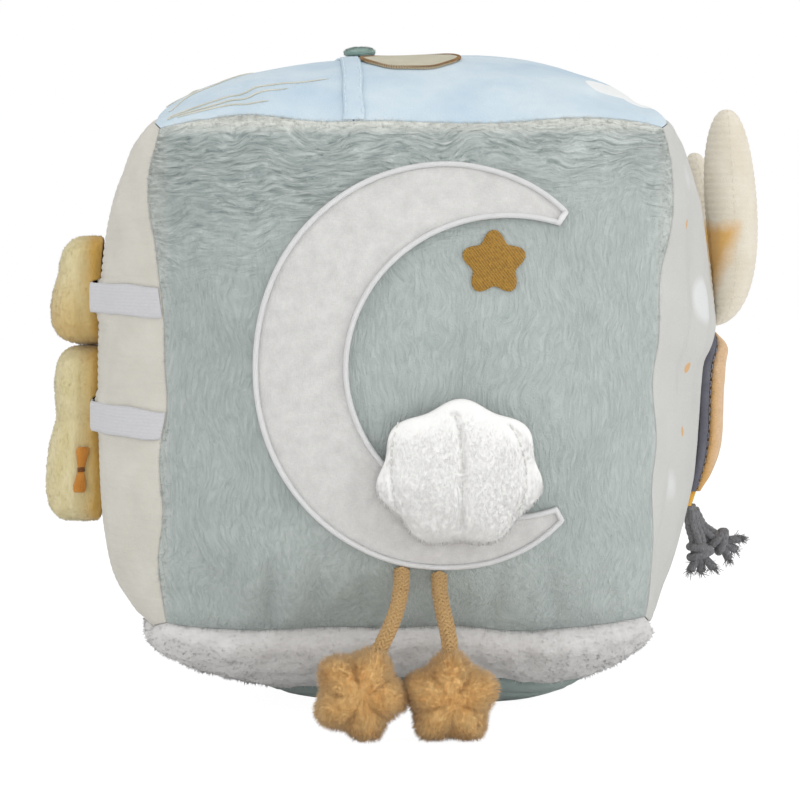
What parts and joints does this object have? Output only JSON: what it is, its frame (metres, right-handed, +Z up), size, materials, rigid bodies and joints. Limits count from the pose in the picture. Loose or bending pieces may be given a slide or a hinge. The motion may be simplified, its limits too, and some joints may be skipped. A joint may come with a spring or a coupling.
{
  "type": "soft fabric block",
  "caption": "Stuffed fabric activity cube with crowned panels, a lifting plush flap, dangling stars, sliding chicks, petals and a pendant.",
  "frame": {"origin": "middle of the flat under the bottom pad, where the block rests", "axes": "+X to the right of the front panel, +Y from the front panel to the back panel, +Z up"},
  "size_m": [0.2206, 0.2074, 0.2061],
  "materials": {
    "sage_plush": "matte",
    "blue_cotton": "matte",
    "ivory_corduroy": "matte",
    "printed_cotton": "matte",
    "plain_cotton": "matte",
    "cream_sherpa": "matte",
    "sage_velour": "matte",
    "fibre_filling": "matte",
    "white_felt": "matte",
    "white_satin": "satin",
    "mustard_satin": "satin",
    "white_minky": "matte",
    "clear_film": "gloss",
    "mustard_cord": "matte",
    "mustard_plush": "matte",
    "white_elastic": "matte",
    "yellow_plush": "matte",
    "orange_felt": "matte",
    "ivory_velour": "matte",
    "slate_felt": "matte",
    "mustard_cotton": "matte",
    "yellow_cotton": "matte",
    "grey_cotton_cord": "matte",
    "khaki_felt": "matte",
    "brown_thread": "matte",
    "green_velour": "matte",
    "white_plastic": "satin",
    "steel_ball": "satin"
  },
  "bodies": {
    "block": {"front_panel": "sage_plush", "back_panel": "plain_cotton", "left_panel": "ivory_corduroy", "right_panel": "printed_cotton", "top_panel_left": "blue_cotton", "top_panel_right": "blue_cotton", "top_seam_band": "blue_cotton", "bottom_panel": "cream_sherpa", "bottom_pad": "sage_velour", "filling_front": "fibre_filling", "filling_back": "fibre_filling", "rattle_case_upper": "white_plastic", "rattle_case_lower": "white_plastic", "moon_felt": "white_felt", "moon_border": "white_satin", "star_felt": "mustard_satin", "band_upper": "white_elastic", "band_lower": "white_elastic", "top_patch": "khaki_felt", "top_patch_edge": "brown_thread"},
    "rattle_ball": {"rattle_ball": "steel_ball"},
    "cloud_flap": {"flap_front": "white_minky", "flap_back": "white_felt", "crinkle_film": "clear_film"},
    "dangler_left": {"cord_left": "mustard_cord", "plush_star_left": "mustard_plush"},
    "dangler_right": {"cord_right": "mustard_cord", "plush_star_right": "mustard_plush"},
    "chick_upper": {"chick_upper_body": "yellow_plush", "chick_upper_head": "yellow_plush", "chick_upper_beak": "orange_felt", "chick_upper_loop": "yellow_plush"},
    "chick_lower": {"chick_lower_body": "yellow_plush", "chick_lower_head": "yellow_plush", "chick_lower_beak": "orange_felt", "chick_lower_loop": "yellow_plush"},
    "petal_front": {"petal_front": "ivory_velour"},
    "petal_rear": {"petal_rear": "ivory_velour"},
    "pendant": {"pendant_back": "slate_felt", "pendant_front": "mustard_cotton", "pendant_tab": "yellow_cotton"},
    "tassel": {"tassel_cord_long": "grey_cotton_cord", "tassel_cord_short": "grey_cotton_cord"},
    "top_tab": {"top_tab": "green_velour"}
  },
  "joints": [
    {"name": "flap_lift", "type": "hinge", "parent": "block", "child": "cloud_flap", "pos_m": [0.012, -0.10144, 0.0983], "axis": [-1, 0, 0], "range_deg": [0, 85]},
    {"name": "dangler_left_swing", "type": "hinge", "parent": "block", "child": "dangler_left", "pos_m": [-0.00452, -0.09143, 0.04612], "axis": [-1, 0, 0], "range_deg": [0, 80]},
    {"name": "dangler_right_swing", "type": "hinge", "parent": "block", "child": "dangler_right", "pos_m": [0.00627, -0.09076, 0.04466], "axis": [-1, 0, 0], "range_deg": [0, 80]},
    {"name": "chick_upper_slide", "type": "slide", "parent": "block", "child": "chick_upper", "axis": [0, 1, 0], "range_m": [-0.02, 0.02]},
    {"name": "chick_lower_slide", "type": "slide", "parent": "block", "child": "chick_lower", "axis": [0, 1, 0], "range_m": [-0.02, 0.02]},
    {"name": "petal_front_fold", "type": "hinge", "parent": "block", "child": "petal_front", "pos_m": [0.09556, -0.022, 0.1163], "axis": [0, 1, 0], "range_deg": [0, 45], "stiffness_Nm_per_rad": 0.002},
    {"name": "petal_rear_fold", "type": "hinge", "parent": "block", "child": "petal_rear", "pos_m": [0.09538, 0.024, 0.1163], "axis": [0, 1, 0], "range_deg": [0, 45], "stiffness_Nm_per_rad": 0.002},
    {"name": "pendant_lift", "type": "hinge", "parent": "block", "child": "pendant", "pos_m": [0.09616, 0.001, 0.1138], "axis": [0, -1, 0], "range_deg": [0, 75]},
    {"name": "tassel_swing", "type": "hinge", "parent": "pendant", "child": "tassel", "pos_m": [0.09328, 0.001, 0.057], "axis": [0, -1, 0], "range_deg": [0, 60]},
    {"name": "top_tab_fold", "type": "hinge", "parent": "block", "child": "top_tab", "pos_m": [-0.0135, -0.021, 0.20069], "axis": [1, 0, 0], "range_deg": [-15, 15], "stiffness_Nm_per_rad": 0.002},
    {"name": "rattle_shake", "type": "slide", "parent": "block", "child": "rattle_ball", "axis": [0, 0, 1], "range_m": [0, 0.0198]}
  ]
}
